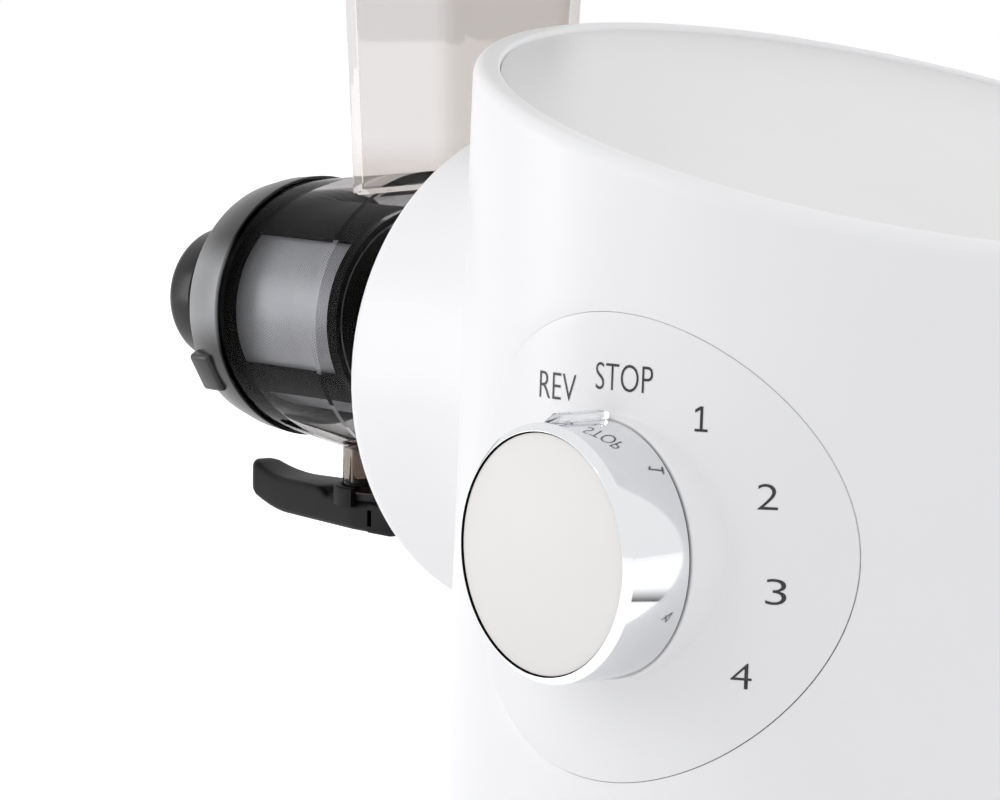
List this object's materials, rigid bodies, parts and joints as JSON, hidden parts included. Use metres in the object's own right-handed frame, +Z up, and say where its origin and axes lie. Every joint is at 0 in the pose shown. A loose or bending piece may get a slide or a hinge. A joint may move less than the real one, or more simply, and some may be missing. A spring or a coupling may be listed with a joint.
{
  "type": "cold press juicer",
  "caption": "Cold press juicer: round motor tower with a sloping top, front dial knob, side drum with auger, screen, feed chute and tray, pulp nozzle and flap-closed juice spout.",
  "frame": {"origin": "centre of the outer box at the height of the table the feet stand on", "axes": "+Z up, -Y towards the knob's side, -X along the auger towards the pulp nozzle"},
  "size_m": [0.308, 0.1872, 0.3538],
  "materials": {
    "white_gloss": "glossy moulded",
    "pale_grey": "fine satin",
    "smoky_clear": "clear smoky moulding",
    "chute_clear": "clear moulding",
    "black_gloss": "glossy moulded",
    "black_satin": "satin moulded",
    "mesh_steel": "fine perforated",
    "knob_chrome": "polished",
    "knob_satin": "brushed",
    "clear_tab": "clear moulding",
    "silicone": "matte",
    "black_rubber": "matte",
    "gear_steel": "machined",
    "screw_steel": "zinc plated",
    "sintered_bronze": "sintered",
    "gear_nylon": "moulded",
    "case_plastic": "glass-filled moulded",
    "winding": "varnished windings on laminations",
    "ferrite": "sintered",
    "board_green": "lacquered"
  },
  "bodies": {
    "housing": {"body_shell": "white_gloss", "top_cover": "pale_grey", "dial_plate": "white_gloss", "base_plate": "pale_grey", "rubber_feet": "black_rubber", "base_screws": "screw_steel", "cord_gland": "black_satin", "drum_socket": "pale_grey", "motor_bracket": "gear_steel", "bracket_screws": "screw_steel", "gearbox_case": "case_plastic", "gearbox_cover": "case_plastic", "gearbox_screws": "screw_steel", "output_bearing": "sintered_bronze", "hub_seal": "black_rubber", "gear_axle": "gear_steel", "motor_can": "gear_steel", "motor_end_bell": "black_satin", "field_magnets": "ferrite", "motor_bushes": "sintered_bronze", "control_board": "board_green", "speed_switch": "black_satin", "switch_nut": "screw_steel"},
    "knob": {"knob_shell": "knob_chrome", "knob_face": "knob_satin", "knob_pointer": "clear_tab", "knob_spindle": "sintered_bronze"},
    "rotor": {"rotor_shaft": "gear_steel", "rotor_core": "winding", "motor_pinion": "gear_steel", "cooling_fan": "black_satin"},
    "reduction": {"reduction_gear": "gear_nylon"},
    "drive": {"output_gear": "gear_steel", "drive_hub": "gear_steel"},
    "drum_unit": {"drum": "smoky_clear", "feed_chute": "chute_clear", "drum_seal": "silicone", "screen_frame": "black_satin", "screen_mesh": "mesh_steel", "juice_outlet": "smoky_clear", "flap_pin": "gear_steel"},
    "auger_unit": {"auger": "black_satin", "auger_shaft": "gear_steel", "auger_seal": "silicone"},
    "cap_unit": {"end_cap": "black_gloss", "cap_seal": "silicone"},
    "nozzle": {"pulp_nozzle": "black_gloss"},
    "flap": {"juice_flap": "black_gloss", "flap_pad": "silicone"},
    "hopper": {"hopper_tray": "chute_clear"},
    "pusher_unit": {"pusher": "chute_clear", "pusher_cap": "black_gloss"}
  },
  "joints": [
    {"name": "knob_turn", "type": "hinge", "parent": "housing", "child": "knob", "pos_m": [0.08141, -0.09365, 0.13], "axis": [0, 1, 0], "range_deg": [-31, 124]},
    {"name": "rotor_spin", "type": "hinge", "parent": "housing", "child": "rotor", "pos_m": [0.06761, 0.02819, 0.13633], "axis": [-1, 0, 0], "continuous": true},
    {"name": "reduction_spin", "type": "hinge", "parent": "housing", "child": "reduction", "pos_m": [0.03001, 0.00505, 0.10875], "axis": [-1, 0, 0], "continuous": true},
    {"name": "drive_spin", "type": "hinge", "parent": "housing", "child": "drive", "pos_m": [0.03001, 0.00505, 0.1575], "axis": [-1, 0, 0], "continuous": true},
    {"name": "drum_pull", "type": "slide", "parent": "housing", "child": "drum_unit", "axis": [-1, 0, 0], "range_m": [0, 0.045]},
    {"name": "auger_spin", "type": "hinge", "parent": "drum_unit", "child": "auger_unit", "pos_m": [-0.11839, 0.00505, 0.1575], "axis": [-1, 0, 0], "continuous": true},
    {"name": "cap_pull", "type": "slide", "parent": "drum_unit", "child": "cap_unit", "axis": [-1, 0, 0], "range_m": [0, 0.03]},
    {"name": "nozzle_turn", "type": "hinge", "parent": "cap_unit", "child": "nozzle", "pos_m": [-0.12779, 0.00505, 0.1575], "axis": [-1, 0, 0], "range_deg": [0, 90]},
    {"name": "flap_swing", "type": "hinge", "parent": "drum_unit", "child": "flap", "pos_m": [-0.07439, 0.00505, 0.1111], "axis": [0, -1, 0], "range_deg": [0, 80]},
    {"name": "hopper_lift", "type": "slide", "parent": "drum_unit", "child": "hopper", "axis": [0, 0, 1], "range_m": [0, 0.02]},
    {"name": "pusher_lift", "type": "slide", "parent": "hopper", "child": "pusher_unit", "axis": [0, 0, 1], "range_m": [0, 0.06]}
  ],
  "couplings": [
    {"joint": "reduction_spin", "follows": "rotor_spin", "ratio": -0.2},
    {"joint": "drive_spin", "follows": "rotor_spin", "ratio": 0.05},
    {"joint": "auger_spin", "follows": "rotor_spin", "ratio": 0.05}
  ]
}
